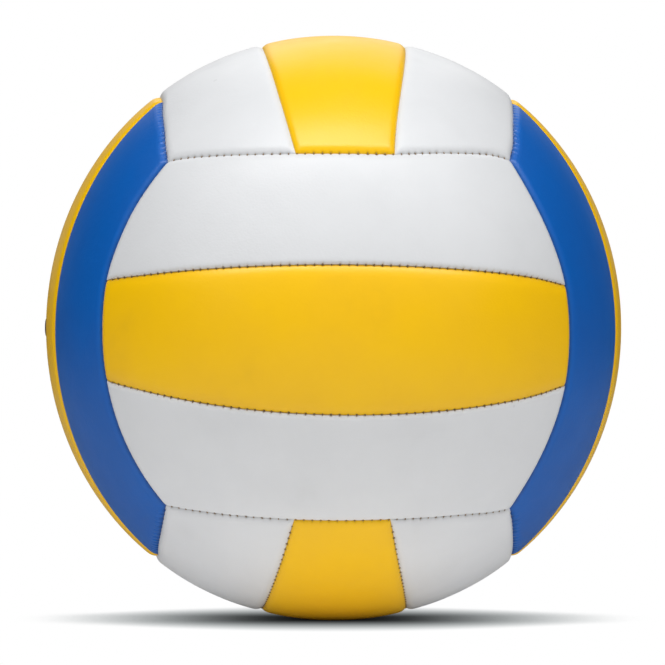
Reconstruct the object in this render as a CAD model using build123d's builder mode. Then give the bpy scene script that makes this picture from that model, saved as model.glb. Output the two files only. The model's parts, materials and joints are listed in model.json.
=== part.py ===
from build123d import *
import math
import os
from collections import namedtuple

# An 18 panel volleyball: six faces of three sewn strips round a rubber bladder.
# Millimetres, with the origin at the centre of the ball, +Z up and the front face towards -Y.

# Ball and its layers, from the outside inwards
ball_diameter = 210.0
skin_thickness = 0.9
foam_thickness = 1.8
lining_thickness = 0.4
bladder_thickness = 0.7
layer_gap = 0.05

# Seam layout, in degrees from the middle of a face
face_edge_angle = 37.8
strip_seam_angle = 14.5

# Seams and their threads
seam_gap = 0.3
foam_edge_radius = 0.9
thread_diameter = 0.6
thread_gap = 0.05
thread_end_gap = 0.4

# Valve housing, a rubber boss through the cover with a flange inside the bladder
valve_face = "left"
neck_diameter = 9.0
neck_recess = 0.3
neck_gap = 0.2
flange_diameter = 30.0
flange_thickness = 1.2
flange_gap = 0.05
body_diameter = 12.0
body_length = 12.0

# Valve plug, pushed into the housing, with a blind hole for the inflating needle
plug_stem_diameter = 5.0
plug_stem_length = 15.0
plug_tip_chamfer = 0.8
plug_head_diameter = 6.4
plug_head_height = 1.5
plug_dome_rise = 0.4
plug_proud = 0.5
plug_gap = 0.05
plug_seat_gap = 0.05
needle_hole_diameter = 2.4
needle_hole_depth = 8.0
needle_mouth_chamfer = 0.5

# How far cuts run past what they cut
overrun = 2.0

ball_radius = ball_diameter / 2
foam_radius = ball_radius - skin_thickness - layer_gap
lining_radius = foam_radius - foam_thickness - layer_gap
cover_back_radius = lining_radius - lining_thickness
cover_thickness = ball_radius - cover_back_radius
bladder_radius = cover_back_radius - layer_gap
bladder_inner_radius = bladder_radius - bladder_thickness
pad_inset = seam_gap / 2 + skin_thickness
cavity_edge_radius = foam_edge_radius + layer_gap
skin_edge_radius = cavity_edge_radius + skin_thickness

# The thread lies on the two rolled panel edges, so its depth follows from their radius.
roll_centre_radius = ball_radius - skin_edge_radius
roll_centre_angle = seam_gap / 2 / ball_radius + math.asin(skin_edge_radius / roll_centre_radius)
thread_reach = skin_edge_radius + thread_diameter / 2 + thread_gap
thread_drop = roll_centre_radius * math.sin(roll_centre_angle)
thread_path_radius = roll_centre_radius * math.cos(roll_centre_angle)
thread_path_radius += math.sqrt(thread_reach**2 - thread_drop**2)

neck_top = ball_radius - neck_recess
flange_radius = bladder_inner_radius - flange_gap
flange_back_radius = flange_radius - flange_thickness
plug_head_top = ball_radius + plug_proud
plug_head_rim = plug_head_top - plug_dome_rise
plug_seat = plug_head_rim - plug_head_height
plug_tip = plug_seat - plug_stem_length
neck_hole_radius = neck_diameter / 2 + neck_gap

Face = namedtuple("Face", "name out along strips")
Seam = namedtuple("Seam", "axis middle")
Strip = namedtuple("Strip", "inside outside")

# Each face looks out along one axis, its strips run along another, and they are named across it.
faces = [
    Face("front", (0, -1, 0), (1, 0, 0), ("lower", "middle", "upper")),
    Face("back", (0, 1, 0), (-1, 0, 0), ("lower", "middle", "upper")),
    Face("left", (-1, 0, 0), (0, 0, 1), ("front", "middle", "rear")),
    Face("right", (1, 0, 0), (0, 0, -1), ("front", "middle", "rear")),
    Face("top", (0, 0, 1), (0, -1, 0), ("left", "middle", "right")),
    Face("bottom", (0, 0, -1), (0, 1, 0), ("left", "middle", "right")),
]


def face_plane(face):
    """A plane at the ball's centre: X along the strips, Y across them and Z out of the face."""
    return Plane(origin=(0, 0, 0), x_dir=face.along, z_dir=face.out)


def long_seam(angle, tilt, side):
    """A seam along the strips, as a circle round an axis, through its middle point."""
    angle, tilt = math.radians(angle), math.radians(tilt)
    axis = Vector(0, side * math.cos(tilt), -math.sin(tilt))
    return Seam(axis, Vector(0, side * math.sin(angle), math.cos(angle)))


def end_seam(angle, tilt, side):
    """A seam across the strips' ends, which is a long edge of the next face."""
    angle, tilt = math.radians(angle), math.radians(tilt)
    axis = Vector(-side * math.sin(tilt), 0, math.cos(tilt))
    return Seam(axis, Vector(side * math.cos(angle), 0, math.sin(angle)))


def corner_tilt(angle):
    """The tilt at which the edges of three faces meet in one point of the cube's diagonal."""
    angle, corner = math.radians(angle), 1 / math.sqrt(3)
    return math.degrees(math.atan2(math.sin(angle) - corner, math.cos(angle) - corner))


def meeting_point(seam, end):
    """The point, on a unit sphere and out of the face, where a seam meets an end seam."""
    seam_height, end_height = seam.axis.dot(seam.middle), end.axis.dot(end.middle)
    lean = seam.axis.dot(end.axis)
    spread = 1 - lean**2
    along_seam = (seam_height - lean * end_height) / spread
    along_end = (end_height - lean * seam_height) / spread
    foot = seam.axis * along_seam + end.axis * along_end
    normal = seam.axis.cross(end.axis).normalized()
    rise = normal * math.sqrt(1 - foot.dot(foot))
    return max(foot + rise, foot - rise, key=lambda point: point.Z)


def seam_cut(seam, radius, inset):
    """The plane of a seam on a sphere of some radius, with the seam's circle widened by an inset."""
    rim_angle = math.radians(seam.axis.get_angle(seam.middle)) + inset / ball_radius
    return Plane(origin=(0, 0, 0), z_dir=seam.axis).offset(radius * math.cos(rim_angle))


def strip_block(strip, outer_radius, thickness, inset, edge_radius):
    """A strip of spherical shell with radial sides, set in from its seams, its outer edges rounded."""
    poles_across = (90, 0, 0)
    with BuildPart() as segment:
        Sphere(outer_radius, rotation=poles_across)
        for seam in strip.inside:
            split(bisect_by=seam_cut(seam, outer_radius, -inset), keep=Keep.TOP)
        for seam in strip.outside:
            split(bisect_by=seam_cut(seam, outer_radius, inset), keep=Keep.BOTTOM)
    outer_face = segment.faces().filter_by(GeomType.SPHERE)[0]
    with BuildPart() as block:
        thicken(outer_face, amount=-thickness)
        if edge_radius:
            rim = block.faces().sort_by(SortBy.AREA)[-1].edges()
            fillet(rim, edge_radius)
    return block.part


def panel_skin(strip):
    """A panel's synthetic leather: a shallow pan whose edges turn in to the seams."""
    block = strip_block(strip, ball_radius, cover_thickness, seam_gap / 2, skin_edge_radius)
    cavity_radius = ball_radius - skin_thickness
    cavity = strip_block(strip, cavity_radius, cover_thickness, pad_inset, cavity_edge_radius)
    with BuildPart() as skin:
        add(block)
        add(cavity, mode=Mode.SUBTRACT)
    return skin.part


def seam_thread(seam, end):
    """The thread of one seam, lying in its groove and stopping short of the seams at its ends."""
    half_plane_normal = seam.axis.cross(seam.middle)
    half_turn = half_plane_normal.get_angle(seam.axis.cross(meeting_point(seam, end)))
    turn_radius = thread_path_radius * half_plane_normal.length
    half_turn -= math.degrees((thread_diameter / 2 + thread_end_gap) / turn_radius)
    start = seam.middle.rotate(Axis((0, 0, 0), seam.axis), -half_turn)
    section_plane = Plane(start * thread_path_radius, x_dir=start, z_dir=seam.axis.cross(start))
    with BuildPart() as thread:
        with BuildSketch(section_plane):
            Circle(thread_diameter / 2)
        revolve(axis=Axis((0, 0, 0), seam.axis), revolution_arc=2 * half_turn)
    return thread.part


# The strips of a face, in its own plane: the middle one lies between the two strip seams.
edge_tilt = corner_tilt(face_edge_angle)
ends = [end_seam(face_edge_angle, edge_tilt, side) for side in (-1, 1)]
edges = [long_seam(face_edge_angle, edge_tilt, side) for side in (-1, 1)]
strip_seams = [long_seam(strip_seam_angle, strip_seam_angle, side) for side in (-1, 1)]
strips = [
    Strip([*ends, strip_seams[0]], [edges[0]]),
    Strip(ends, strip_seams),
    Strip([*ends, strip_seams[1]], [edges[1]]),
]

# One of each layer for the three strips, and one of each thread, which every face then repeats
pad_gap = pad_inset + layer_gap
skins = [panel_skin(strip) for strip in strips]
foams = [strip_block(strip, foam_radius, foam_thickness, pad_gap, foam_edge_radius) for strip in strips]
linings = [strip_block(strip, lining_radius, lining_thickness, pad_gap, 0) for strip in strips]
threads = [seam_thread(seam, ends[1]) for seam in edges + strip_seams]

os.makedirs("parts", exist_ok=True)


def valve_hole():
    """The hole for the valve's neck, cut outwards from the ball's centre."""
    outwards = (Align.CENTER, Align.CENTER, Align.MIN)
    Cylinder(neck_hole_radius, ball_radius + overrun, align=outwards, mode=Mode.SUBTRACT)


def cover_piece(node, face, shapes):
    """Places one layer of a face, with the valve's hole where it passes, and writes it."""
    with BuildPart(face_plane(face)) as piece:
        add(shapes)
        if face.name == valve_face:
            valve_hole()
    piece.part.label = node
    export_step(piece.part, f"parts/{node}.step")


# Cover: a skin and a foam pad for each strip, and each face's cloth linings and seam threads
for face in faces:
    for strip_name, skin, foam in zip(face.strips, skins, foams):
        cover_piece(f"panel_{face.name}_{strip_name}", face, skin)
        cover_piece(f"foam_{face.name}_{strip_name}", face, foam)
    cover_piece(f"lining_{face.name}", face, linings)
    cover_piece(f"thread_{face.name}", face, threads)

valve_plane = next(face_plane(face) for face in faces if face.name == valve_face)
valve_axis = Axis((0, 0, 0), valve_plane.z_dir)
valve_section = Plane(origin=(0, 0, 0), x_dir=valve_plane.x_dir, z_dir=-valve_plane.y_dir)

# Bladder
with BuildPart(valve_plane) as bladder:
    Sphere(bladder_radius)
    Sphere(bladder_inner_radius, mode=Mode.SUBTRACT)
    valve_hole()
bladder.part.label = "bladder"
export_step(bladder.part, "parts/bladder.step")

# Valve housing: a neck through the cover, a flange against the bladder and a body inside it
neck_radius = neck_diameter / 2
flange_rim = flange_diameter / 2
body_radius = body_diameter / 2
stem_bore = plug_stem_diameter / 2 + plug_gap
head_bore = plug_head_diameter / 2 + plug_gap
seat_height = plug_seat - plug_seat_gap
body_bottom = flange_back_radius - body_length
neck_foot_angle = math.degrees(math.acos(neck_radius / flange_radius))
rim_front_angle = math.degrees(math.acos(flange_rim / flange_radius))
rim_back_angle = math.degrees(math.acos(flange_rim / flange_back_radius))
body_top_angle = math.degrees(math.acos(body_radius / flange_back_radius))
with BuildPart() as valve_housing:
    with BuildSketch(valve_section):
        with BuildLine():
            front = CenterArc((0, 0), flange_radius, rim_front_angle, neck_foot_angle - rim_front_angle)
            back = CenterArc((0, 0), flange_back_radius, rim_back_angle, body_top_angle - rim_back_angle)
            Line(front @ 0, back @ 0)
            Polyline(
                front @ 1,
                (neck_radius, neck_top),
                (head_bore, neck_top),
                (head_bore, seat_height),
                (stem_bore, seat_height),
                (stem_bore, body_bottom),
                (body_radius, body_bottom),
                back @ 1,
            )
        make_face()
    revolve(axis=valve_axis)
valve_housing.part.label = "valve_housing"
export_step(valve_housing.part, "parts/valve_housing.step")

# Valve plug: a stem with a domed head and a blind hole for the needle
stem_radius = plug_stem_diameter / 2
head_radius = plug_head_diameter / 2
dome_radius = (head_radius**2 + plug_dome_rise**2) / (2 * plug_dome_rise)
dome_angle = math.degrees(math.acos(head_radius / dome_radius))
needle_radius = needle_hole_diameter / 2
with BuildPart(valve_plane) as valve_plug:
    with BuildSketch(valve_section):
        with BuildLine():
            dome = CenterArc((0, plug_head_top - dome_radius), dome_radius, dome_angle, 90 - dome_angle)
            Polyline(
                dome @ 1,
                (0, plug_tip),
                (stem_radius - plug_tip_chamfer, plug_tip),
                (stem_radius, plug_tip + plug_tip_chamfer),
                (stem_radius, plug_seat),
                (head_radius, plug_seat),
                dome @ 0,
            )
        make_face()
    revolve(axis=valve_axis)
    with Locations((0, 0, plug_head_top)):
        CounterSinkHole(needle_radius, needle_radius + needle_mouth_chamfer, needle_hole_depth, 90)
valve_plug.part.label = "valve_plug"
export_step(valve_plug.part, "parts/valve_plug.step")
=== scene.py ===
import json
import math

import bpy
import numpy as np
from mathutils import Matrix, Vector

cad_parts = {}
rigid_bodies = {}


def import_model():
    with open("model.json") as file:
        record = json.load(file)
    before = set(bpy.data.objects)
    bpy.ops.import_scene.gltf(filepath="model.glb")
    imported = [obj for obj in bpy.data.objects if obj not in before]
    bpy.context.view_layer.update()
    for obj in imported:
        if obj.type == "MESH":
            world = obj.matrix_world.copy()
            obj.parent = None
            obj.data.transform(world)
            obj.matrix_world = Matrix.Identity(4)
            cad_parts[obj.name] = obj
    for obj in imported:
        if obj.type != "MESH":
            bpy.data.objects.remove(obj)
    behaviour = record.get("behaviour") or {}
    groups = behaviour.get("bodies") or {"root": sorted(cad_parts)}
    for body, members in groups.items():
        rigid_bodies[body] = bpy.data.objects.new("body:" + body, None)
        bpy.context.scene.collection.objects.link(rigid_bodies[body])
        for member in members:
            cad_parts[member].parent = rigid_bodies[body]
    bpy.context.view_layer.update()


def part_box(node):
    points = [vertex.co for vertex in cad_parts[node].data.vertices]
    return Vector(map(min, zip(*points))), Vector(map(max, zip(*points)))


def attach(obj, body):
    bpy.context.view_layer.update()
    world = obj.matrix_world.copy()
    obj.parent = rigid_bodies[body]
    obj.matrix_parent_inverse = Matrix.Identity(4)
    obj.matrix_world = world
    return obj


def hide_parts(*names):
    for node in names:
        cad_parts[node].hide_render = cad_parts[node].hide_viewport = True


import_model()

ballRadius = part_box("panel_top_middle")[1].z
mmPerMetre = 1000
shortest = 1e-9   # keeps a division by a length from failing
gridSlack = 1e-7  # metres by which a point may miss its grid line
print("frame loaded, ball radius", round(ballRadius, 5))

# the sewing pattern: three strips on each of six faces, angles seen from the ball's centre
pattern = {
    "edgeAngle": math.radians(37.8),   # middle of a face to the middle of its long edge
    "stripAngle": math.radians(14.5),  # middle of a face to a strip seam
    "seed": 11,
}
faceAxes = {  # along the strips, across them, and out of the ball
    "front": ((1, 0, 0), (0, 0, 1), (0, -1, 0)),
    "back": ((-1, 0, 0), (0, 0, 1), (0, 1, 0)),
    "left": ((0, 0, 1), (0, 1, 0), (-1, 0, 0)),
    "right": ((0, 0, -1), (0, 1, 0), (1, 0, 0)),
    "top": ((0, -1, 0), (1, 0, 0), (0, 0, 1)),
    "bottom": ((0, 1, 0), (1, 0, 0), (0, 0, -1)),
}
stripNames = {
    "front": ("lower", "middle", "upper"),
    "back": ("lower", "middle", "upper"),
    "left": ("front", "middle", "rear"),
    "right": ("front", "middle", "rear"),
    "top": ("left", "middle", "right"),
    "bottom": ("left", "middle", "right"),
}
faceTurns = {face: np.array(axes, float).T for face, axes in faceAxes.items()}
edgeAngle, stripAngle = pattern["edgeAngle"], pattern["stripAngle"]
cornerShare = 1 / math.sqrt(3)
edgeTilt = math.atan2(math.sin(edgeAngle) - cornerShare, math.cos(edgeAngle) - cornerShare)
endAngle = math.pi / 2 - edgeAngle  # middle of a face to the end of its strips


def meetOnBall(gamma, tilt, rise, lean):
    # where the cut across the strip (gamma, tilt) meets the cut along it (rise, lean), on a ball of radius 1
    acrossHeight, alongHeight = np.cos(gamma + tilt), np.sin(rise - lean)
    a = 1 + np.tan(lean) ** 2 + 1 / np.tan(tilt) ** 2
    b = 2 * (alongHeight * np.sin(lean) / np.cos(lean) ** 2 - acrossHeight * np.cos(tilt) / np.sin(tilt) ** 2)
    c = (alongHeight / np.cos(lean)) ** 2 + (acrossHeight / np.sin(tilt)) ** 2 - 1
    z = (-b + np.sqrt(np.maximum(b * b - 4 * a * c, 0))) / (2 * a)
    x = (z * np.cos(tilt) - acrossHeight) / np.sin(tilt)
    y = (alongHeight + z * np.sin(lean)) / np.cos(lean)
    return np.stack([x, y, z], -1)


def makeSeams():
    dice = np.random.default_rng(pattern["seed"])
    seams = {}
    for face, turn in faceTurns.items():
        for kind, angle, lean in (("edge", edgeAngle, edgeTilt), ("strip", stripAngle, stripAngle)):
            for side in (-1, 1):
                axis = np.array((0, side * math.cos(lean), -math.sin(lean)))
                middle = np.array((0, side * math.sin(lean), math.cos(lean)))
                end = meetOnBall(endAngle, edgeTilt, angle, lean) * (1, side, 1)
                seams[face, kind, side] = {
                    "axis": turn @ axis, "middle": turn @ middle, "turn": turn @ np.array((1.0, 0, 0)),
                    "halfAngle": math.pi / 2 - (angle - lean),
                    "halfTurn": math.atan2(end[0], end @ middle),
                }
    for key, seam in seams.items():
        seam["reach"] = ballRadius * math.sin(seam["halfAngle"])
        count = int((2 * seam["halfTurn"] * seam["reach"] - stitch["endGap"]) / stitch["pitch"])
        spots = (np.arange(count) - (count - 1) / 2) * stitch["pitch"]
        seam["spots"] = spots + dice.normal(0, stitch["wander"], count)
        # hidden seams pull less, wide ones flank the middle strips, toothed ones gather the side panels
        seam["hidden"] = (key[0] in ("left", "right") and key[1] == "edge") or key[:2] == ("top", "strip")
        seam["wide"] = key[0] in ("front", "back") and key[1] == "strip"
        seam["toothed"] = key[0] in ("top", "bottom") and key[1] == "edge"
        pulls = np.clip(dice.normal(1, stitch["unevenness"], count), stitch["weakest"], stitch["strongest"])
        seam["pulls"] = pulls * (stitch["sideGrip"] if seam["hidden"] else 1)
    return seams


def measure(seam, points):
    # distance from the seam, way along it, and the direction away from it, for points on a ball of radius 1
    lift = points @ seam["axis"]
    theta = np.arccos(np.clip(lift, -1, 1))
    offset = seam["halfAngle"] - theta
    along = np.arctan2(points @ seam["turn"], points @ seam["middle"]) * seam["reach"]
    away = seam["axis"] - points * lift[:, None]
    away /= np.maximum(np.linalg.norm(away, axis=1), shortest)[:, None]
    return np.abs(offset) * ballRadius, along, away * np.sign(offset)[:, None]


def stitchPull(seam, along):
    # how near each point is to its closest stitch, and how hard that stitch pulls
    place = np.clip(np.searchsorted(seam["spots"], along), 1, len(seam["spots"]) - 1)
    before = along - seam["spots"][place - 1] < seam["spots"][place] - along
    nearest = np.where(before, place - 1, place)
    return along - seam["spots"][nearest], seam["pulls"][nearest]


# the seam stitches, in metres
stitch = {
    "pitch": 0.00295, "wander": 0.00008, "endGap": 0.0016,
    "unevenness": 0.3, "weakest": 0.45, "strongest": 1.5,  # how differently the stitches pull
    "length": 0.0011, "radius": 0.0002, "sides": 8, "cuts": 5, "sag": 0.0004, "depth": 0.00115,
    "wideSink": -0.00012, "sideSink": 0.0005,  # hidden and toothed seams hold their stitches deeper
    "sideGrip": 0.3,
}
seams = makeSeams()

# how single seams of the photographed ball stray: millimetres toward the seam's axis at its middle,
# then the slope, the bow and the hook at the ends of the stray along it
stray = {
    ("front", "strip", 1): (0.15, -0.4, 2.5, -0.2), ("front", "strip", -1): (-0.6, 0.9, 0.5, 0.4),
    ("front", "edge", 1): (0.0, 1.05, 4.0, -3.35), ("front", "edge", -1): (-1.05, 0.35, 1.15, -0.1),
    ("left", "edge", -1): (-2.1, -0.5, 1.7, -0.2), ("right", "edge", -1): (2.65, -0.45, 0.2, -2.9),
    ("left", "strip", -1): (0.35, 0.45, 1.35, 1.25), ("right", "strip", -1): (2.3, 0.85, -1.15, -0.5),
    ("top", "strip", -1): (0.15, -0.2, -0.15, -0.1), ("top", "strip", 1): (-1.2, 0.4, 0.0, 2.5),
    ("bottom", "strip", -1): (0.05, 0.1, -0.1, -0.1), ("bottom", "strip", 1): (-0.05, -0.2, 0.15, 0.2),
    ("top", "edge", -1): (-0.95, 0.0, 0.05, 0.25), ("top", "edge", 1): (-0.9, 0.2, 0.25, 0.35),
    ("bottom", "edge", -1): (0.5, -0.1, 0.05, -0.15), ("bottom", "edge", 1): (0.5, 0.15, -0.2, -0.4),
}
strayFade = {"width": 0.013, "end": 1.25, "fade": 0.25, "hookEnd": 1.1, "hookPower": 6}
bulge = {"tall": 0.0164, "corners": 0.0053}  # the photographed ball is a little taller than wide


def settle(points):
    # moves points of the ball with the stray of the seams near them, and outward with the ball's bulge
    length = np.linalg.norm(points, axis=1)[:, None]
    unit = points / length
    moved = unit.copy()
    for key, (middle, slope, bow, hook) in stray.items():
        seam = seams[key]
        distance, along = measure(seam, unit)[:2]
        toward = seam["axis"] - unit * (unit @ seam["axis"])[:, None]
        toward /= np.maximum(np.linalg.norm(toward, axis=1), shortest)[:, None]
        span = along / (seam["halfTurn"] * seam["reach"])
        near = np.exp(-(distance / strayFade["width"]) ** 2)
        near = near * np.clip((strayFade["end"] - np.abs(span)) / strayFade["fade"], 0, 1)
        hooked = np.minimum(np.abs(span), strayFade["hookEnd"]) ** strayFade["hookPower"]
        amount = middle + slope * span + bow * span ** 2 + hook * hooked
        moved += toward * (amount * near)[:, None] / mmPerMetre / ballRadius
    moved /= np.linalg.norm(moved, axis=1)[:, None]
    tall, wide = moved[:, 2:] ** 2, moved[:, :1] ** 2
    return moved * length * (1 + bulge["tall"] * tall + bulge["corners"] * 4 * wide * tall)


def neighbourEnds(face):
    # the long seams of the neighbouring faces that close this face's strips
    along, out = np.array(faceAxes[face][0]), np.array(faceAxes[face][2])
    ends = []
    for side in (-1, 1):
        other = next(name for name, axes in faceAxes.items() if axes[2] == tuple(along * side))
        ends.append((other, "edge", int(np.array(faceAxes[other][1]) @ out)))
    return ends


def clearSelection():
    if bpy.context.object and bpy.context.object.mode != "OBJECT":
        bpy.ops.object.mode_set(mode="OBJECT")
    bpy.ops.object.select_all(action="DESELECT")


def readPoints(mesh):
    flat = np.empty(len(mesh.vertices) * 3)
    mesh.vertices.foreach_get("co", flat)
    return flat.reshape(-1, 3)


def writePoints(mesh, points):
    mesh.vertices.foreach_set("co", np.ascontiguousarray(points, dtype=np.float32).ravel())
    mesh.update()


def editEdges(mesh, chosen):
    # edit mode with just these edges selected
    bpy.context.tool_settings.mesh_select_mode = (False, True, False)
    mesh.polygons.foreach_set("select", np.zeros(len(mesh.polygons), bool))
    mesh.vertices.foreach_set("select", np.zeros(len(mesh.vertices), bool))
    mesh.edges.foreach_set("select", chosen)
    bpy.ops.object.mode_set(mode="EDIT")


def edgeEnds(mesh):
    flat = np.empty(len(mesh.edges) * 2, np.int32)
    mesh.edges.foreach_get("vertices", flat)
    return flat.reshape(-1, 2)


# a panel skin: synthetic leather over foam, its edges rolled into the seam and pulled down at each stitch
skin = {
    "halfGap": 0.00001, "lipWidth": 0.00014, "lipDepth": 0.00006, "flangeDepth": 0.0023, "thickness": 0.0007,
    "rollWidth": 0.0029, "rollDepth": 0.00105,
    "wideWidth": 0.0049, "wideDepth": 0.00115,     # the roll of the middle strips on the front and back
    "narrowWidth": 0.0016, "narrowDepth": 0.0006,  # and of the strips beside them
    "cornerBlend": 4, "pillow": 0.0002, "pillowReach": 0.014,
    "rows": (0, 0.00003, 0.0001, 0.0002, 0.00032, 0.0005, 0.0008, 0.0012, 0.0018, 0.0025, 0.0034, 0.0046),
    "cell": 0.003, "borderCuts": 10,
    "dimpleDepth": 0.00045, "dimpleAlong": 0.00036, "dimpleAcross": 0.0005,
    "topToothDepth": 0.0005, "topToothAcross": 0.0012,  # the gathers of the side panels
    "bottomToothDepth": 0.0009, "bottomToothAcross": 0.0014,
    "holeSpread": 0.00016, "holeAcross": 0.00042,
    "valveHole": 0.0047, "valveRoll": 0.0016, "valveSink": 0.0007, "valvePatch": 0.0095, "valveCuts": 9,
    "fill": 0.9,
}


def stripLines(low, high):
    # grid lines across a strip: close together at both borders, even between
    rows = np.array(skin["rows"])
    inner = np.arange(1, round((high - low - 2 * rows[-1]) / skin["cell"]))
    inner = low + rows[-1] + inner * (high - low - 2 * rows[-1]) / (len(inner) + 1)
    return np.concatenate([low + rows, inner, (high - rows)[::-1]])


def subdivideBorder(mesh, points, axis, low, high, acrossLow, acrossHigh):
    # cuts the edges that run along one pair of borders, so that only the borders are fine
    ends = points[edgeEnds(mesh)]
    band = skin["rows"][-1] + gridSlack
    lies = np.abs(ends[:, 0, 1 - axis] - ends[:, 1, 1 - axis]) < 0.1 * gridSlack
    across = ends[:, 0, 1 - axis]
    inBand = (across < acrossLow + band) | (across > acrossHigh - band)
    first, last = ends[:, :, axis].min(1), ends[:, :, axis].max(1)
    between = (first > low + band - 2 * gridSlack) & (last < high - band + 2 * gridSlack)
    editEdges(mesh, lies & inBand & between)
    bpy.ops.mesh.subdivide(number_cuts=skin["borderCuts"])
    bpy.ops.object.mode_set(mode="OBJECT")


def stripLimits(index):
    # the angles of a strip's two long borders, and how much those seams lean
    angles = ((-edgeAngle, -stripAngle), (-stripAngle, stripAngle), (stripAngle, edgeAngle))[index]
    leans = ((-edgeTilt, -stripAngle), (-stripAngle, stripAngle), (stripAngle, edgeTilt))[index]
    return angles, leans


def layStrip(face, index, flat):
    # bends a flat strip onto a ball of radius 1, and finds how far its four seams pull it in
    (lowAngle, highAngle), leans = stripLimits(index)
    gamma, rise = flat[:, 0] / ballRadius, flat[:, 1] / ballRadius
    bandTurn = skin["rows"][-1] / ballRadius
    tilt = np.interp(gamma, (-endAngle + bandTurn, endAngle - bandTurn), (math.pi - edgeTilt, edgeTilt))
    lean = np.interp(rise, (lowAngle + bandTurn, highAngle - bandTurn), leans)
    points = meetOnBall(gamma, tilt, rise, lean) @ faceTurns[face].T
    borders = [(face, ("edge", "strip", "strip")[index], (-1, -1, 1)[index]),
               (face, ("strip", "strip", "edge")[index], (-1, 1, 1)[index])] + neighbourEnds(face)
    sink, shift, nearest = np.zeros(len(points)), np.zeros_like(points), np.full(len(points), 1.0)
    for key in borders:
        distance, along, away = measure(seams[key], points)
        style = ("wide" if index == 1 else "narrow") if seams[key]["wide"] else "roll"
        bend = np.clip(1 - (distance - skin["halfGap"]) / skin[style + "Width"], 0, 1)
        lip = np.clip(1 - (distance - skin["halfGap"]) / skin["lipWidth"], 0, 1)
        drop = skin[style + "Depth"] * bend ** 2 + skin["lipDepth"] * (1 - np.sqrt(1 - lip * lip))
        offset, pull = stitchPull(seams[key], along)
        notch = pull * np.exp(-(offset / skin["dimpleAlong"]) ** 2)
        kind = key[0] + "Tooth" if face in ("left", "right") and seams[key]["toothed"] else "dimple"
        drop = drop + skin[kind + "Depth"] * notch * np.exp(-(distance / skin[kind + "Across"]) ** 2)
        drop = drop + skin["pillow"] * np.clip(1 - distance / skin["pillowReach"], 0, 1) ** 2
        shift += away * (skin["holeSpread"] * notch * np.exp(-(distance / skin["holeAcross"]) ** 2))[:, None]
        sink += drop ** skin["cornerBlend"]
        nearest = np.minimum(nearest, distance)
    sink = sink ** (1 / skin["cornerBlend"])
    if (face, index) == ("left", 1):
        ring = np.linalg.norm((points * ballRadius)[:, 1:], axis=1)
        bend = np.clip(1 - (ring - skin["valveHole"]) / skin["valveRoll"], 0, 1)
        sink += skin["valveSink"] * (1 - np.sqrt(1 - bend * bend))
    points = points + shift / ballRadius
    points /= np.linalg.norm(points, axis=1)[:, None]
    return settle(points), sink, nearest


def addStripGrid(name, uLines, vLines):
    clearSelection()
    bpy.ops.mesh.primitive_grid_add(x_subdivisions=len(uLines) - 1, y_subdivisions=len(vLines) - 1, size=1)
    strip = bpy.context.object
    strip.name = strip.data.name = name
    flat = readPoints(strip.data)
    column = np.rint((flat[:, 0] + 0.5) * (len(uLines) - 1)).astype(int)
    row = np.rint((flat[:, 1] + 0.5) * (len(vLines) - 1)).astype(int)
    writePoints(strip.data, np.stack([uLines[column], vLines[row], np.zeros(len(flat))], 1))
    return strip


def thicken(strip, thickness):
    solid = strip.modifiers.new("thickness", "SOLIDIFY")
    solid.thickness, solid.offset = thickness, -1
    bpy.ops.object.modifier_apply(modifier=solid.name)


def borderEdges(mesh):
    loops = np.empty(len(mesh.loops), np.int32)
    mesh.loops.foreach_get("edge_index", loops)
    return np.bincount(loops, minlength=len(mesh.edges)) == 1


def openValveHole(mesh):
    # a finer patch of the flat skin around the valve, with a round hole in it
    editEdges(mesh, np.abs(readPoints(mesh)[edgeEnds(mesh)]).max((1, 2)) < skin["valvePatch"])
    bpy.ops.mesh.subdivide(number_cuts=skin["valveCuts"])
    bpy.ops.object.mode_set(mode="OBJECT")
    centres = np.empty(len(mesh.polygons) * 3)
    mesh.polygons.foreach_get("center", centres)
    inside = np.linalg.norm(centres.reshape(-1, 3), axis=1) < skin["valveHole"]
    bpy.context.tool_settings.mesh_select_mode = (False, False, True)
    mesh.vertices.foreach_set("select", np.zeros(len(mesh.vertices), bool))
    mesh.edges.foreach_set("select", np.zeros(len(mesh.edges), bool))
    mesh.polygons.foreach_set("select", inside)
    bpy.ops.object.mode_set(mode="EDIT")
    bpy.ops.mesh.delete(type="FACE")
    bpy.ops.object.mode_set(mode="OBJECT")
    points = readPoints(mesh)
    rim = np.unique(edgeEnds(mesh)[borderEdges(mesh)])
    rim = rim[np.linalg.norm(points[rim], axis=1) < skin["valvePatch"]]
    points[rim] *= (skin["valveHole"] / np.linalg.norm(points[rim], axis=1))[:, None]
    writePoints(mesh, points)


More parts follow.
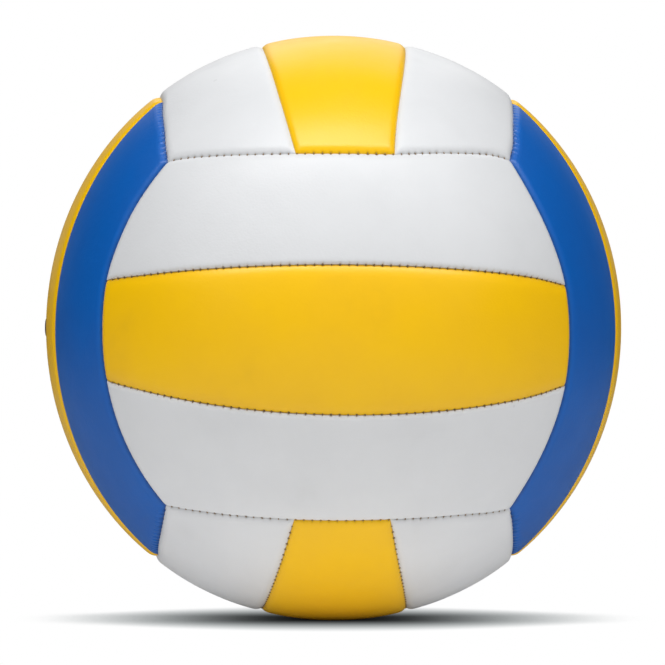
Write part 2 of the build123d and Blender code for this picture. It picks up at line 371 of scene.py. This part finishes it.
def makeSkin(face, index):
    lowAngle, highAngle = stripLimits(index)[0]
    gap = skin["halfGap"]
    uHigh = ballRadius * endAngle - gap
    vLow, vHigh = ballRadius * lowAngle + gap, ballRadius * highAngle - gap
    panel = addStripGrid("skin" + face.capitalize() + stripNames[face][index].capitalize(),
                         stripLines(-uHigh, uHigh), stripLines(vLow, vHigh))
    mesh = panel.data
    subdivideBorder(mesh, readPoints(mesh), 0, -uHigh, uHigh, vLow, vHigh)
    subdivideBorder(mesh, readPoints(mesh), 1, vLow, vHigh, -uHigh, uHigh)
    if (face, index) == ("left", 1):
        openValveHole(mesh)
    points, sink, nearest = layStrip(face, index, readPoints(mesh))
    writePoints(mesh, points * (ballRadius - sink)[:, None])
    mark = mesh.attributes.new("seamDistance", "FLOAT", "POINT")
    mark.data.foreach_set("value", (nearest * mmPerMetre).astype(np.float32))

    # turn the border in as a flange, then give the skin its thickness
    editEdges(mesh, borderEdges(mesh))
    bpy.ops.mesh.extrude_edges_indiv()
    rim = skin["rollDepth"] + skin["lipDepth"] + skin["pillow"]
    shrink = (ballRadius - skin["flangeDepth"]) / (ballRadius - rim)
    bpy.ops.transform.resize(value=(shrink, shrink, shrink), center_override=(0, 0, 0))
    bpy.ops.object.mode_set(mode="OBJECT")
    thicken(panel, skin["thickness"])
    bpy.ops.object.shade_smooth()
    return panel


# the foam behind a skin, a soft pad that stops short of the seams
foam = {
    "inset": 0.0011, "cell": 0.0035, "below": 0.00078, "thickness": 0.0036, "floor": 0.00272,
    "hole": 0.0049, "holeSides": 64, "holeDepth": 0.02, "fill": 0.6,
}


def cutPadHole(pad):
    # room for the valve
    bpy.ops.mesh.primitive_cylinder_add(vertices=foam["holeSides"], radius=foam["hole"],
                                        depth=foam["holeDepth"], location=(-ballRadius, 0, 0),
                                        rotation=(0, math.pi / 2, 0))
    cutter = bpy.context.object
    clearSelection()
    pad.select_set(True)
    bpy.context.view_layer.objects.active = pad
    hole = pad.modifiers.new("hole", "BOOLEAN")
    hole.operation, hole.object, hole.solver = "DIFFERENCE", cutter, "EXACT"
    bpy.ops.object.modifier_apply(modifier=hole.name)
    bpy.data.objects.remove(cutter)


def makeFoam(face, index):
    lowAngle, highAngle = stripLimits(index)[0]
    uHigh = ballRadius * endAngle - foam["inset"]
    vLow, vHigh = ballRadius * lowAngle + foam["inset"], ballRadius * highAngle - foam["inset"]
    pad = addStripGrid("pad" + face.capitalize() + stripNames[face][index].capitalize(),
                       np.linspace(-uHigh, uHigh, round(2 * uHigh / foam["cell"])),
                       np.linspace(vLow, vHigh, round((vHigh - vLow) / foam["cell"])))
    points, sink = layStrip(face, index, readPoints(pad.data))[:2]
    writePoints(pad.data, points * (ballRadius - sink - foam["below"])[:, None])
    thicken(pad, foam["thickness"])
    points = readPoints(pad.data)  # the back lies flat on the lining
    length = np.linalg.norm(points, axis=1)[:, None]
    writePoints(pad.data, points / length * np.maximum(length, ballRadius - foam["floor"]))
    if (face, index) == ("left", 1):
        cutPadHole(pad)
    bpy.ops.object.shade_smooth()
    return pad


skins, pads = {}, {}
for face in faceAxes:
    for index in range(3):
        skins[face, index] = makeSkin(face, index)
        pads[face, index] = makeFoam(face, index)
print("skins made", len(skins), sum(len(panel.data.polygons) for panel in skins.values()), "faces")


def makeStitch():
    # one short bar of thread over the seam, its ends drawn down into the holes
    clearSelection()
    bpy.ops.mesh.primitive_cylinder_add(vertices=stitch["sides"], radius=stitch["radius"],
                                        depth=stitch["length"], rotation=(0, math.pi / 2, 0))
    bar = bpy.context.object
    bpy.ops.object.transform_apply(location=False, rotation=True, scale=False)
    points = readPoints(bar.data)
    ends = points[edgeEnds(bar.data)]
    editEdges(bar.data, np.abs(ends[:, 0, 0] - ends[:, 1, 0]) > stitch["length"] / 2)
    bpy.ops.mesh.subdivide(number_cuts=stitch["cuts"])
    bpy.ops.object.mode_set(mode="OBJECT")
    points = readPoints(bar.data)
    points[:, 2] -= stitch["sag"] * (2 * points[:, 0] / stitch["length"]) ** 2
    writePoints(bar.data, points)
    return bar


def layStitch(shape, seam, spot):
    # the points of one stitch, turned to lie over the seam at this spot
    turn = spot / seam["reach"]
    ringway = seam["middle"] * math.cos(turn) + seam["turn"] * math.sin(turn)
    out = seam["axis"] * math.cos(seam["halfAngle"]) + ringway * math.sin(seam["halfAngle"])
    alongSeam = seam["turn"] * math.cos(turn) - seam["middle"] * math.sin(turn)
    overSeam = np.cross(alongSeam, out)
    sunk = (seam["hidden"] or seam["toothed"]) * stitch["sideSink"]
    depth = stitch["depth"] + seam["wide"] * stitch["wideSink"] + sunk
    return shape @ np.stack([overSeam, alongSeam, out]) + out * (ballRadius - depth)


def makeStitchRuns():
    bar = makeStitch()
    shape = readPoints(bar.data)
    polygons = [list(polygon.vertices) for polygon in bar.data.polygons]
    runs = {}
    for face in faceAxes:
        allPoints, allPolygons = [], []
        for kind in ("edge", "strip"):
            for side in (-1, 1):
                seam = seams[face, kind, side]
                for spot in seam["spots"]:
                    start = len(allPoints) * len(shape)
                    allPoints.append(layStitch(shape, seam, spot))
                    allPolygons += [[corner + start for corner in polygon] for polygon in polygons]
        mesh = bpy.data.meshes.new("stitches" + face.capitalize())
        mesh.from_pydata(settle(np.concatenate(allPoints)).tolist(), [], allPolygons)
        runs[face] = bpy.data.objects.new(mesh.name, mesh)
        bpy.context.collection.objects.link(runs[face])
        mesh.shade_smooth()
    bpy.data.objects.remove(bar)
    return runs


stitchRuns = makeStitchRuns()
print("stitches made", sum(len(seam["spots"]) for seam in seams.values()))


def addNode(tree, kind, **settings):
    # keys that are inputs set the socket, the others set the node
    node = tree.nodes.new(kind)
    for key, value in settings.items():
        if hasattr(node, key):
            setattr(node, key, value)
    for key, value in settings.items():
        if not hasattr(node, key):
            feed(tree, node, key.replace("_", " "), value)
    return node


def feed(tree, node, socket, value):
    target = node.inputs[socket]
    if isinstance(value, bpy.types.NodeSocket):
        tree.links.new(value, target)
    else:
        target.default_value = value


def newGroup(name, inputs, outputs):
    # inputs are numbers with a starting value, outputs are numbers too
    tree = bpy.data.node_groups.new(name, "ShaderNodeTree")
    for label, value in inputs:
        socket = tree.interface.new_socket(label, in_out="INPUT", socket_type="NodeSocketFloat")
        socket.default_value = value
    for label in outputs:
        tree.interface.new_socket(label, in_out="OUTPUT", socket_type="NodeSocketFloat")
    return tree, tree.nodes.new("NodeGroupInput").outputs, tree.nodes.new("NodeGroupOutput")


def addMath(tree, operation, first, second=0.5, third=0.5):
    node = tree.nodes.new("ShaderNodeMath")
    node.operation = operation
    for place, value in enumerate((first, second, third)):
        feed(tree, node, place, value)
    return node.outputs[0]


def addMix(tree, factor, first, second):
    # inputs 6 and 7 and output 2 of this node are its colours
    node = tree.nodes.new("ShaderNodeMix")
    node.data_type = "RGBA"
    feed(tree, node, 0, factor)
    feed(tree, node, 6, first)
    feed(tree, node, 7, second)
    return node.outputs[2]


def addRange(tree, value, fromLow, fromHigh, toLow=0.0, toHigh=1.0):
    node = addNode(tree, "ShaderNodeMapRange", interpolation_type="SMOOTHSTEP")
    for place, item in enumerate((value, fromLow, fromHigh, toLow, toHigh)):
        feed(tree, node, place, item)
    return node.outputs[0]


def addNoise(tree, place, scale, detail, roughness=0.5):
    noise = addNode(tree, "ShaderNodeTexNoise", Vector=place, Scale=scale, Detail=detail, Roughness=roughness)
    return noise.outputs["Fac"]


noiseSpan = (0.3, 0.7)  # where most of a noise lies

# leather grain: fine pebbles broken by soft creases
grainLook = {
    "pebbles": 1500.0, "pebbleHeight": 0.45,
    "creases": 260.0, "creaseDetail": 5.0, "creaseRough": 0.6,
    "clouds": 32.0, "cloudDetail": 4.0, "cloudRough": 0.55,
    "bump": 0.16, "bumpHeight": 0.0004, "smoother": 0.04, "rougher": 0.05,
}


def makeGrainGroup():
    inputs = [("Pebbles", grainLook["pebbles"]), ("Creases", grainLook["creases"])]
    tree, given, result = newGroup("leatherGrain", inputs, ["Height", "Mottle"])
    place = addNode(tree, "ShaderNodeTexCoord").outputs["Object"]
    pebbles = addNode(tree, "ShaderNodeTexVoronoi", feature="SMOOTH_F1", Vector=place, Scale=given["Pebbles"])
    creases = addNoise(tree, place, given["Creases"], grainLook["creaseDetail"], grainLook["creaseRough"])
    height = addMath(tree, "MULTIPLY_ADD", pebbles.outputs["Distance"], grainLook["pebbleHeight"], creases)
    feed(tree, result, "Height", height)
    clouds = addNoise(tree, place, grainLook["clouds"], grainLook["cloudDetail"], grainLook["cloudRough"])
    feed(tree, result, "Mottle", clouds)
    return tree


# darker near the seams: dust held by the seam together with painted shade of the seam groove, from each
# skin's own distance to its border in millimetres
seamDustShadeLook = {"width": 1.2, "patches": 420.0, "patchDetail": 3.0, "patchSpan": (0.25, 0.75), "thinnest": 0.55}


def makeSeamDustShadeGroup():
    tree, given, result = newGroup("seamGrime", [("Width", seamDustShadeLook["width"])], ["Mask"])
    place = addNode(tree, "ShaderNodeTexCoord").outputs["Object"]
    distance = addNode(tree, "ShaderNodeAttribute", attribute_name="seamDistance").outputs["Fac"]
    near = addRange(tree, distance, 0.0, given["Width"], 1.0, 0.0)
    patches = addNoise(tree, place, seamDustShadeLook["patches"], seamDustShadeLook["patchDetail"])
    patchy = addRange(tree, patches, *seamDustShadeLook["patchSpan"], seamDustShadeLook["thinnest"], 1.0)
    feed(tree, result, "Mask", addMath(tree, "MULTIPLY", near, patchy))
    return tree


# faint smudges, and a few small dark specks
scuffLook = {
    "areas": 34.0, "areaDetail": 2.0, "areaSpan": (0.55, 0.75),
    "streaks": 110.0, "streakDetail": 5.0, "streakSpan": (0.35, 0.75), "smudges": 0.1,
    "cells": 48.0, "speckFrom": 0.72, "speckSize": 0.055, "specks": 0.3, "dulling": 0.3,
}


def makeScuffGroup():
    inputs = [("Smudges", scuffLook["smudges"]), ("Specks", scuffLook["specks"])]
    tree, given, result = newGroup("scuffMarks", inputs, ["Mask"])
    place = addNode(tree, "ShaderNodeTexCoord").outputs["Object"]
    areas = addNoise(tree, place, scuffLook["areas"], scuffLook["areaDetail"])
    streaks = addNoise(tree, place, scuffLook["streaks"], scuffLook["streakDetail"])
    smudges = addMath(tree, "MULTIPLY", addRange(tree, areas, *scuffLook["areaSpan"]),
                      addRange(tree, streaks, *scuffLook["streakSpan"]))
    cells = addNode(tree, "ShaderNodeTexVoronoi", Vector=place, Scale=scuffLook["cells"])
    pick = addNode(tree, "ShaderNodeSeparateColor", Color=cells.outputs["Color"]).outputs["Red"]
    size = addRange(tree, pick, scuffLook["speckFrom"], 1.0, 0.0, scuffLook["speckSize"])
    specks = addMath(tree, "GREATER_THAN", size, cells.outputs["Distance"])
    smudged = addMath(tree, "MULTIPLY", smudges, given["Smudges"])
    feed(tree, result, "Mask", addMath(tree, "MULTIPLY_ADD", specks, given["Specks"], smudged))
    return tree


grainGroup, seamDustShadeGroup, scuffGroup = makeGrainGroup(), makeSeamDustShadeGroup(), makeScuffGroup()
# the colour each leather takes toward its seams is dust and painted shade of the seam groove in one colour
leathers = {
    "whiteLeather": {
        "colour": (0.71, 0.72, 0.735), "shade": (0.685, 0.695, 0.71),
        "seamDustShade": (0.30, 0.28, 0.26), "seamDustShadeAmount": 0.14,
        "scuff": (0.42, 0.42, 0.42), "smudges": 0.10, "specks": 0.18, "roughness": 0.38, "gloss": 0.35,
    },
    "yellowLeather": {
        "colour": (0.955, 0.553, 0.001), "shade": (0.935, 0.533, 0.001),
        "seamDustShade": (0.24, 0.12, 0.02), "seamDustShadeAmount": 0.2,
        "scuff": (0.50, 0.28, 0.01), "smudges": 0.09, "specks": 0.35, "roughness": 0.35, "gloss": 0.5,
    },
    "blueLeather": {
        "colour": (0.001, 0.112, 0.47), "shade": (0.001, 0.104, 0.445),
        "seamDustShade": (0.002, 0.02, 0.08), "seamDustShadeAmount": 0.5,
        "scuff": (0.05, 0.14, 0.40), "smudges": 0.10, "specks": 0.18, "roughness": 0.4, "gloss": 0.6,
    },
}


def newMaterial(name):
    material = bpy.data.materials.new(name)
    material.use_nodes = True
    return material, material.node_tree, material.node_tree.nodes["Principled BSDF"]


def makeLeather(name):
    look = leathers[name]
    material, tree, shader = newMaterial(name)
    grain = addNode(tree, "ShaderNodeGroup", node_tree=grainGroup).outputs
    seamDustShade = addNode(tree, "ShaderNodeGroup", node_tree=seamDustShadeGroup).outputs["Mask"]
    scuffs = addNode(tree, "ShaderNodeGroup", node_tree=scuffGroup, Smudges=look["smudges"],
                     Specks=look["specks"]).outputs["Mask"]
    mottle = addRange(tree, grain["Mottle"], *noiseSpan)
    colour = addMix(tree, mottle, look["colour"] + (1,), look["shade"] + (1,))
    colour = addMix(tree, scuffs, colour, look["scuff"] + (1,))
    # painted shade: the leather is darkened toward each seam, dust and the groove's shade together
    seamDarkening = addMath(tree, "MULTIPLY", seamDustShade, look["seamDustShadeAmount"])
    feed(tree, shader, "Base Color", addMix(tree, seamDarkening, colour, look["seamDustShade"] + (1,)))
    shader.inputs["Specular IOR Level"].default_value = look["gloss"]
    rough = addRange(tree, grain["Mottle"], *noiseSpan, look["roughness"] - grainLook["smoother"],
                     look["roughness"] + grainLook["rougher"])
    feed(tree, shader, "Roughness", addMath(tree, "MULTIPLY_ADD", scuffs, scuffLook["dulling"], rough))
    bump = addNode(tree, "ShaderNodeBump", Strength=grainLook["bump"], Distance=grainLook["bumpHeight"],
                   Height=grain["Height"])
    feed(tree, shader, "Normal", bump.outputs["Normal"])
    return material


for name in leathers:
    leathers[name]["material"] = makeLeather(name)

plainLooks = {
    "thread": {
        "colour": (0.24, 0.155, 0.075), "shade": (0.30, 0.20, 0.105),
        "scale": 2600.0, "roughness": 0.7, "bump": 0.3,
    },
    "foam": {
        "colour": (0.62, 0.60, 0.55), "shade": (0.45, 0.43, 0.38),
        "scale": 900.0, "roughness": 0.9, "bump": 0.6,
    },
    "liningCloth": {
        "colour": (0.70, 0.69, 0.66), "shade": (0.5, 0.49, 0.47),
        "scale": 1400.0, "roughness": 0.85, "bump": 0.5,
    },
    "bladderRubber": {
        "colour": (0.022, 0.022, 0.024), "shade": (0.04, 0.04, 0.042),
        "scale": 220.0, "roughness": 0.6, "bump": 0.15,
    },
    "valveRubber": {
        "colour": (0.11, 0.065, 0.04), "shade": (0.15, 0.09, 0.055),
        "scale": 700.0, "roughness": 0.55, "bump": 0.2,
    },
}
plainGrain = {"detail": 4.0, "height": 0.0002, "roughSpread": 0.06}


def makePlain(name):
    look = plainLooks[name]
    material, tree, shader = newMaterial(name)
    place = addNode(tree, "ShaderNodeTexCoord").outputs["Object"]
    noise = addNoise(tree, place, look["scale"], plainGrain["detail"])
    mottle = addRange(tree, noise, *noiseSpan)
    feed(tree, shader, "Base Color", addMix(tree, mottle, look["colour"] + (1,), look["shade"] + (1,)))
    low, high = look["roughness"] - plainGrain["roughSpread"], look["roughness"] + plainGrain["roughSpread"]
    feed(tree, shader, "Roughness", addRange(tree, noise, *noiseSpan, low, high))
    bump = addNode(tree, "ShaderNodeBump", Strength=look["bump"], Distance=plainGrain["height"], Height=noise)
    feed(tree, shader, "Normal", bump.outputs["Normal"])
    return material


for name in plainLooks:
    plainLooks[name]["material"] = makePlain(name)

for (face, index), panel in skins.items():
    slot = "yellow" if index == 1 else "blue" if face in ("left", "right") else "white"
    panel.data.materials.clear()
    panel.data.materials.append(leathers[slot + "Leather"]["material"])
    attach(panel, "ball")
    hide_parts("panel_" + face + "_" + stripNames[face][index])
for (face, index), pad in pads.items():
    pad.data.materials.clear()
    pad.data.materials.append(plainLooks["foam"]["material"])
    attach(pad, "ball")
    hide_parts("foam_" + face + "_" + stripNames[face][index])
for face, run in stitchRuns.items():
    run.data.materials.append(plainLooks["thread"]["material"])
    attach(run, "ball")
    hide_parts("thread_" + face)

# the frame's own nodes that stay: the lining, the bladder and the valve
nodeLooks = {"lining_": "liningCloth", "bladder": "bladderRubber", "valve_": "valveRubber"}
for thing in list(bpy.data.objects):
    for start, look in nodeLooks.items():
        if thing.type == "MESH" and thing.name.startswith(start):
            finishes = thing.data.materials
            if not finishes:
                finishes.append(None)
            for place in range(len(finishes)):
                finishes[place] = plainLooks[look]["material"]
print("materials assigned")

# studio: white paper under the ball, its sizes in metres and its glow by the distance from the ball's centre
studio = {
    "floorColour": (0.62, 0.62, 0.62), "floorMottle": 0.98, "floorNoise": 3.0, "floorDetail": 2.0,
    "floorSize": 60.0, "floorRoughness": 0.9, "floorGloss": 0.1, "floorDull": 0.6,
    "litStripHalf": 0.45, "litStripSoft": 0.1, "litStripBeyond": 0.45,  # painted fall-off of light: the paper is bright in a strip near the ball, darker beyond it
    "glow": 0.12, "glowNear": 3.8, "glowSpan": (0.13, 0.4),    # brightest near the ball
    "contactSpan": (0.107, 0.122),                             # and none right under it
    "shadowReach": 1.0, "shadowCurve": 1.9, "shadowSlope": 0.25, "shadowSamples": 32,
    "shadowSpan": (0.04, 0.5),  # how soon the shadow lifts in front and behind, in ball radii
    "shadowTint": (0.92, 0.99, 1.0),
    "worldLevel": 0.06, "worldShine": 0.01, "backShine": 0.32, "backSpan": (0.7, 1.0),
}


def addPaperLight(tree, shader, place):
    # what the ball gets from the paper
    noise = addNoise(tree, place, studio["floorNoise"], studio["floorDetail"])
    tone = studio["floorColour"]
    mottled = tuple(studio["floorMottle"] * part for part in tone)
    paper = addMix(tree, addRange(tree, noise, *noiseSpan), tone + (1,), mottled + (1,))
    sideways = addMath(tree, "ABSOLUTE", addNode(tree, "ShaderNodeSeparateXYZ", Vector=place).outputs["X"])
    half, soft = studio["litStripHalf"], studio["litStripSoft"]
    # painted fall-off of light: beyond a strip near the ball the paper's colour and its glow are darker
    litStrip = addRange(tree, sideways, half - soft, half + soft, 1.0, studio["litStripBeyond"])
    feed(tree, shader, "Base Color", addMix(tree, litStrip, (0, 0, 0, 1), paper))
    shader.inputs["Roughness"].default_value = studio["floorRoughness"]
    shader.inputs["Specular IOR Level"].default_value = studio["floorGloss"]

    distance = addNode(tree, "ShaderNodeVectorMath", operation="LENGTH", Vector=place).outputs["Value"]
    glow = addRange(tree, distance, *studio["glowSpan"], studio["glowNear"], 1.0)
    glow = addMath(tree, "MULTIPLY", glow, addRange(tree, distance, *studio["contactSpan"]))
    glow = addMath(tree, "MULTIPLY", addMath(tree, "MULTIPLY", glow, litStrip), studio["glow"])
    glossy = addNode(tree, "ShaderNodeLightPath").outputs["Is Glossy Ray"]
    glow = addMath(tree, "MULTIPLY", glow, addMath(tree, "SUBTRACT", 1.0, glossy))
    shine = addNode(tree, "ShaderNodeEmission", Strength=glow)
    lit = addNode(tree, "ShaderNodeAddShader")
    tree.links.new(shader.outputs[0], lit.inputs[0])
    tree.links.new(shine.outputs[0], lit.inputs[1])
    dull = addNode(tree, "ShaderNodeMixShader", Fac=addMath(tree, "MULTIPLY", glossy, studio["floorDull"]))
    tree.links.new(lit.outputs[0], dull.inputs[1])
    return dull


def addPaperShade(tree, place):
    # what the camera sees: white paper, darkened where the ball shuts out the sky
    sky = addNode(tree, "ShaderNodeAmbientOcclusion", samples=studio["shadowSamples"],
                  Distance=studio["shadowReach"]).outputs["AO"]
    shade = addMath(tree, "MULTIPLY_ADD", sky, studio["shadowCurve"], studio["shadowSlope"])
    depth = addMath(tree, "ABSOLUTE", addNode(tree, "ShaderNodeSeparateXYZ", Vector=place).outputs["Y"])
    lift = addRange(tree, addMath(tree, "DIVIDE", depth, ballRadius), *studio["shadowSpan"])
    tone = addMath(tree, "MINIMUM", addMath(tree, "MULTIPLY_ADD", sky, shade, lift), 1.0)
    tint = addMix(tree, tone, studio["shadowTint"] + (1,), (1, 1, 1, 1))
    return addNode(tree, "ShaderNodeEmission", Color=tint, Strength=tone)


def makeFloor():
    clearSelection()
    level = -ballRadius * (1 + bulge["tall"])  # the lowest point of the ball
    bpy.ops.mesh.primitive_plane_add(size=studio["floorSize"], location=(0, 0, level))
    floor = bpy.context.object
    floor.name = "floor"
    bpy.ops.object.transform_apply(location=True)
    material, tree, shader = newMaterial("paleFloor")
    place = addNode(tree, "ShaderNodeTexCoord").outputs["Object"]
    light, paper = addPaperLight(tree, shader, place), addPaperShade(tree, place)
    seen = addNode(tree, "ShaderNodeLightPath").outputs["Is Camera Ray"]
    both = addNode(tree, "ShaderNodeMixShader", Fac=seen)
    tree.links.new(light.outputs[0], both.inputs[1])
    tree.links.new(paper.outputs[0], both.inputs[2])
    tree.links.new(both.outputs[0], tree.nodes["Material Output"].inputs["Surface"])
    material.cycles.emission_sampling = "NONE"  # the paper's glow reaches the ball by bounces alone
    floor.data.materials.append(material)
    return floor


lamps = {  # all aim at the ball's centre, and those without glare don't show in the leather's gloss
    "topLamp": {"size": (2.2, 0.5), "power": 21.0, "place": (0, -0.45, 1.45), "glare": True},
    "frontLamp": {"size": (7.0, 2.2), "power": 52.5, "place": (0, -2.2, 1.6), "glare": False},
    "backLamp": {"size": (1.3, 1.3), "power": 5.5, "place": (0, 1.5, 1.15), "glare": True},
    "leftLamp": {"size": (1.0, 1.6), "power": 5.0, "place": (-1.7, -1.0, 1.5), "glare": False},
    "rightLamp": {"size": (1.0, 1.6), "power": 5.0, "place": (1.7, -1.0, 1.5), "glare": False},
}


def makeLamp(name):
    look = lamps[name]
    lamp = bpy.data.lights.new(name, "AREA")
    lamp.shape, lamp.energy = "RECTANGLE", look["power"]
    lamp.size, lamp.size_y = look["size"]
    holder = bpy.data.objects.new(name, lamp)
    holder.location = look["place"]
    holder.rotation_euler = (-Vector(look["place"])).to_track_quat("-Z", "Y").to_euler()
    holder.visible_glossy = look["glare"]
    bpy.context.collection.objects.link(holder)
    return holder


def makeWorld():
    # a dim even light, brighter behind the ball for reflections, and white for the camera
    world = bpy.data.worlds.new("studioWorld")
    world.use_nodes = True
    tree = world.node_tree
    base = tree.nodes["Background"]
    base.inputs["Color"].default_value = (1, 1, 1, 1)
    path = addNode(tree, "ShaderNodeLightPath").outputs
    way = addNode(tree, "ShaderNodeTexCoord").outputs["Generated"]
    behind = addNode(tree, "ShaderNodeSeparateXYZ", Vector=way).outputs["Y"]
    shine = addRange(tree, behind, *studio["backSpan"], studio["worldShine"], studio["backShine"])
    extra = addMath(tree, "SUBTRACT", shine, studio["worldLevel"])
    lit = addMath(tree, "MULTIPLY_ADD", path["Is Glossy Ray"], extra, studio["worldLevel"])
    feed(tree, base, "Strength", addMath(tree, "MAXIMUM", lit, path["Is Camera Ray"]))
    bpy.context.scene.world = world


floor = makeFloor()
topLamp, frontLamp, backLamp, leftLamp, rightLamp = [makeLamp(name) for name in lamps]
makeWorld()
print("studio set")

# the camera of the photograph, turned about the ball's centre, its distance in ball radii
shot = {
    "distance": 14.44, "azimuth": math.radians(-2.03), "elevation": math.radians(2.58),
    "roll": math.radians(0.21), "slideRight": -0.00041, "slideUp": -0.00163,
    "lens": 224.3, "sensor": 36.0, "clip": (0.05, 200.0),
}


def makeCamera():
    data = bpy.data.cameras.new("photoCamera")
    data.lens, data.sensor_width = shot["lens"], shot["sensor"]
    data.clip_start, data.clip_end = shot["clip"]
    camera = bpy.data.objects.new("photoCamera", data)
    bpy.context.collection.objects.link(camera)
    azimuth, elevation, roll = shot["azimuth"], shot["elevation"], shot["roll"]
    toward = Vector((math.cos(elevation) * math.sin(azimuth), -math.cos(elevation) * math.cos(azimuth),
                     math.sin(elevation)))
    level = Vector((math.cos(azimuth), math.sin(azimuth), 0))
    upright = toward.cross(level)
    up = upright * math.cos(roll) - level * math.sin(roll)
    right = level * math.cos(roll) + upright * math.sin(roll)
    spot = toward * shot["distance"] * ballRadius + right * shot["slideRight"] + up * shot["slideUp"]
    turn = Matrix((right, up, toward)).transposed()
    camera.matrix_world = Matrix.Translation(spot) @ turn.to_4x4()
    bpy.context.scene.camera = camera


makeCamera()
bpy.context.scene.view_settings.view_transform = "Standard"
